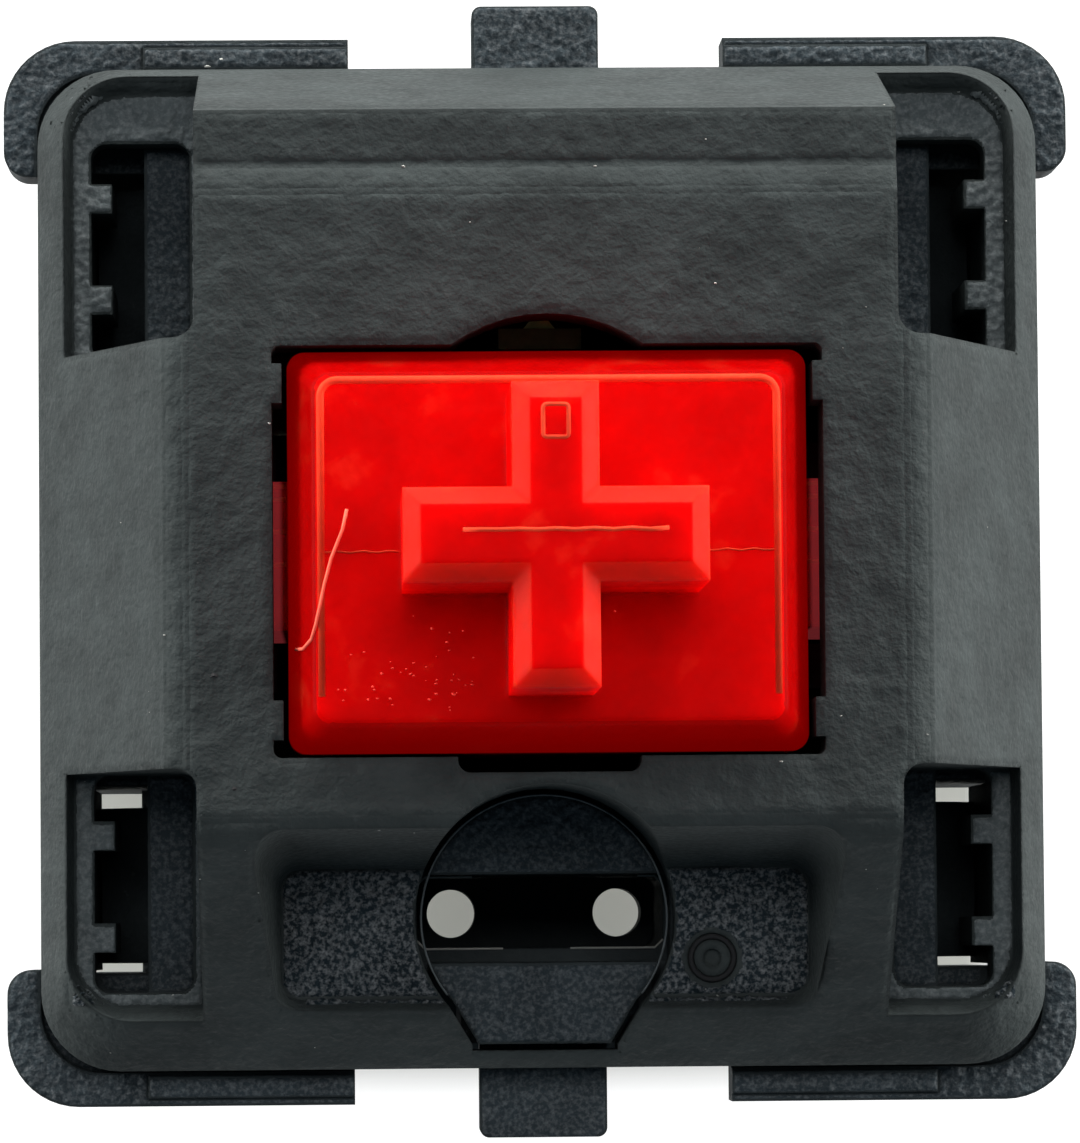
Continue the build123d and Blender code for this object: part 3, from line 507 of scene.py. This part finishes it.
# A thin fibre that has settled on the stem
fibre_marks = (
    (-2.80, 0.55), (-2.86, 0.27), (-3.02, -0.13), (-3.12, -0.50), (-3.17, -0.74),
    (-3.24, -1.05), (-3.30, -1.24), (-3.42, -1.36), (-3.52, -1.36),
)
fibre = []
for x, y in fibre_marks:
    ground = seen_from_above(x, y)[1]
    fibre.append((x, y, ground.z + 0.03))
add_piece("fibre", *tube(fibre, 0.024, 8), FIBRE, "key", "red_stem", smooth=True)


def specks(name, places, material, body="base", slot="black_housing"):
    """Small flat flakes, each with an uneven outline."""
    verts, faces = [], []
    for x, y, size in places:
        ground = seen_from_above(x, y)[1]
        centre = Vector((x, y, ground.z + 0.02))
        first = len(verts)
        verts.append(centre + Vector((0, 0, 0.02)))
        for k in range(7):
            angle = 2 * math.pi * k / 7 + rng.uniform(-0.3, 0.3)
            reach = size * rng.uniform(0.5, 1.2)
            verts.append(centre + Vector((reach * math.cos(angle), 0.6 * reach * math.sin(angle), -0.01)))
        for k in range(7):
            faces.append((first, first + 1 + k, first + 1 + (k + 1) % 7))
        faces.append(tuple(first + 7 - k for k in range(7)))
    add_piece(name, verts, faces, material, body, slot)


def takes_dust(place):
    """On the cover, or out on the flange."""
    x, y, _ = place
    return seen_from_above(x, y)[0] == "upper_housing" or abs(y) > 7.2


pale_places = [
    (-4.6, 7.5, 0.07), (-4.8, 7.4, 0.05), (-3.6, 7.34, 0.06), (-5.3, 7.3, 0.05), (-3.9, -6.6, 0.05),
]
for i in range(70):
    pale_places.append((rng.uniform(-7, 7), rng.uniform(-7, 7), rng.uniform(0.012, 0.028)))
specks("dust_flakes", filter(takes_dust, pale_places), DUST_AND_HIGHLIGHT)
specks("dark_pits", [(-4.39, -3.29, 0.07), (-4.66, -1.72, 0.06)], DARK_SPECKS_AND_SHADE)

# Pale specks on the stem, most of them towards its south-west corner
pink_places = []
while len(pink_places) < 45:
    x, y = rng.gauss(-1.6, 1.0), rng.gauss(-1.75, 0.45)
    if abs(x) < 3.0 and abs(y) < 2.25 and not (abs(x) < 0.75 or abs(y) < 0.8):
        pink_places.append((x, y, rng.uniform(0.014, 0.034)))
specks("stem_specks", pink_places, PINK, "key", "red_stem")

# Painted highlights: pale lines along the pillar's rim and the edges of the well for the lamp's leads
PILLAR_TOP, PILLAR_RADIUS, LAMP_Y = 7.0, 1.78, -5.11
WELL_Z, WELL_Y, WELL_HALF_X, WELL_HALF_Y, WELL_CORNER = 4.6, -5.02, 1.82, 0.53, 0.12
arc = [math.radians(-38 + 256 * i / 60) for i in range(61)]
rim = [(PILLAR_RADIUS * math.cos(a), LAMP_Y + PILLAR_RADIUS * math.sin(a), PILLAR_TOP - 0.01) for a in arc]
add_piece("pillar_rim", *tube(rim, 0.018, 6), BLACK_RIM_HIGHLIGHT, "base", "black_housing", smooth=True)
for name, start, end, side in (
    ("well_edge_south_west", -0.55, -WELL_HALF_X, -1),
    ("well_edge_south_east", 0.45, WELL_HALF_X, -1),
    ("well_edge_north_west", -1.0, -WELL_HALF_X, 1),
    ("well_edge_north_east", 1.45, WELL_HALF_X, 1),
):
    out = math.copysign(1.0, end)
    long_y = WELL_Y + side * WELL_HALF_Y
    edge = [(start, long_y, WELL_Z), (end - WELL_CORNER * out, long_y, WELL_Z)]
    edge.append((end, WELL_Y + side * (WELL_HALF_Y - WELL_CORNER), WELL_Z))
    add_piece(name, *tube(edge, 0.016, 6), DUST_AND_HIGHLIGHT, "base", "black_housing", smooth=True)

# Painted shade: a dark ring lying in the groove of the round mark
RING_RADIUS, RING_Z = 0.31, PANEL_FLOOR - 0.045
turns = [a / 5 for a in range(31)]
ring = [(MARK_X + RING_RADIUS * math.cos(a), MARK_Y + RING_RADIUS * math.sin(a), RING_Z) for a in turns]
add_piece("mark_ring", *tube(ring, 0.04, 8, closed=True), DARK_SPECKS_AND_SHADE, "base", "black_housing", smooth=True)

# Stage: a pale floor that looks white, also in mirror images, and keeps the shadow. Under the part, inside a
# soft square, the white lift is left off as painted shade, and the floor's own colour is a little paler
# there.
floor_z = min(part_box(name)[0].z for name in nodes)
bpy.ops.mesh.primitive_plane_add(size=1.2, location=(0, 0, floor_z))
floor = bpy.context.object
floor.name = "floor"
mat, tree, bsdf = new_material("pale_floor")
furthest = tree.nodes.new("ShaderNodeMath")
furthest.operation = "MAXIMUM"
tree.links.new(distance_along(tree, "X"), furthest.inputs[0])
tree.links.new(distance_along(tree, "Y"), furthest.inputs[1])
# Painted shade under the part: inside a soft square the white lift is left off
outside_shade_square = between(tree, furthest.outputs[0], 7.0, 7.9)
shade = ramp(tree, outside_shade_square, ((0.0, (0.52, 0.52, 0.48)), (1.0, grey(0.40))))
tree.links.new(shade, bsdf.inputs["Base Color"])
bsdf.inputs["Roughness"].default_value = 0.9
bsdf.inputs["Specular IOR Level"].default_value = 0.1
light_path = tree.nodes.new("ShaderNodeLightPath")
lift = tree.nodes.new("ShaderNodeEmission")
lift.inputs["Color"].default_value = (1, 1, 1, 1)
strength = tree.nodes.new("ShaderNodeMath")
strength.operation = "MULTIPLY"
strength.inputs[1].default_value = 0.80
tree.links.new(outside_shade_square, strength.inputs[0])
tree.links.new(strength.outputs[0], lift.inputs["Strength"])
none = tree.nodes.new("ShaderNodeEmission")
none.inputs["Strength"].default_value = 0.0
seen = light_path.outputs["Is Camera Ray"]
for kind in ("Is Glossy Ray", "Is Transmission Ray"):
    either = tree.nodes.new("ShaderNodeMath")
    either.operation = "MAXIMUM"
    tree.links.new(seen, either.inputs[0])
    tree.links.new(light_path.outputs[kind], either.inputs[1])
    seen = either.outputs[0]
seen_only = tree.nodes.new("ShaderNodeMixShader")
tree.links.new(seen, seen_only.inputs["Fac"])
tree.links.new(none.outputs["Emission"], seen_only.inputs[1])
tree.links.new(lift.outputs["Emission"], seen_only.inputs[2])
total = tree.nodes.new("ShaderNodeAddShader")
tree.links.new(bsdf.outputs["BSDF"], total.inputs[0])
tree.links.new(seen_only.outputs["Shader"], total.inputs[1])
tree.links.new(total.outputs["Shader"], tree.nodes["Material Output"].inputs["Surface"])
floor.data.materials.append(mat)


def panel(name, place, size, power, colour=(1, 1, 1)):
    """A soft lamp that faces the part."""
    data = bpy.data.lights.new(name, "AREA")
    data.shape = "RECTANGLE"
    data.size, data.size_y = size
    data.energy = power
    data.color = colour
    lamp = bpy.data.objects.new(name, data)
    bpy.context.collection.objects.link(lamp)
    lamp.location = place
    aim = Vector((0, 0, 0.006)) - Vector(place)
    lamp.rotation_euler = aim.to_track_quat("-Z", "Y").to_euler()


WARM = (1.0, 0.99, 0.96)
panel("light_north", (0, 0.34, 0.085), (0.5, 0.16), 3.15, WARM)
panel("light_west", (-0.35, 0.09, 0.05), (0.3, 0.08), 1.9, WARM)
panel("light_east", (0.35, 0.09, 0.05), (0.3, 0.08), 2.5, WARM)
panel("light_top", (0.0, 0.10, 0.42), (0.4, 0.12), 0.85)
panel("light_south", (0, -0.34, 0.2), (0.3, 0.15), 0.09)

world = bpy.data.worlds.new("studio")
bpy.context.scene.world = world
world.use_nodes = True
world.node_tree.nodes["Background"].inputs["Color"].default_value = (0.5, 0.77, 1.0, 1)
world.node_tree.nodes["Background"].inputs["Strength"].default_value = 0.15

# Camera, almost straight above, as in the photograph
DISTANCE = 0.101413
FOCAL_PIXELS, FRAME_PIXELS, SENSOR = 6928.857, 1143, 36
azimuth, elevation, roll = math.radians(-26.516), math.radians(86.694), math.radians(-0.475)
back = Vector((
    math.sin(azimuth) * math.cos(elevation),
    -math.cos(azimuth) * math.cos(elevation),
    math.sin(elevation),
))
target = Vector((0.009, -0.040, 6.0)) * MM
right = (-back).cross(Vector((0, 1, 0))).normalized()
up = right.cross(-back)
across = math.cos(roll) * right + math.sin(roll) * up
upright = -math.sin(roll) * right + math.cos(roll) * up
camera_data = bpy.data.cameras.new("camera")
camera = bpy.data.objects.new("camera", camera_data)
bpy.context.collection.objects.link(camera)
eye = target + back * DISTANCE
camera.matrix_world = Matrix((
    (across.x, upright.x, back.x, eye.x),
    (across.y, upright.y, back.y, eye.y),
    (across.z, upright.z, back.z, eye.z),
    (0, 0, 0, 1),
))
camera_data.sensor_width = SENSOR
camera_data.lens = FOCAL_PIXELS / FRAME_PIXELS * SENSOR
camera_data.clip_start = 0.005
camera_data.clip_end = 5
bpy.context.scene.camera = camera
bpy.context.scene.view_settings.view_transform = "Standard"
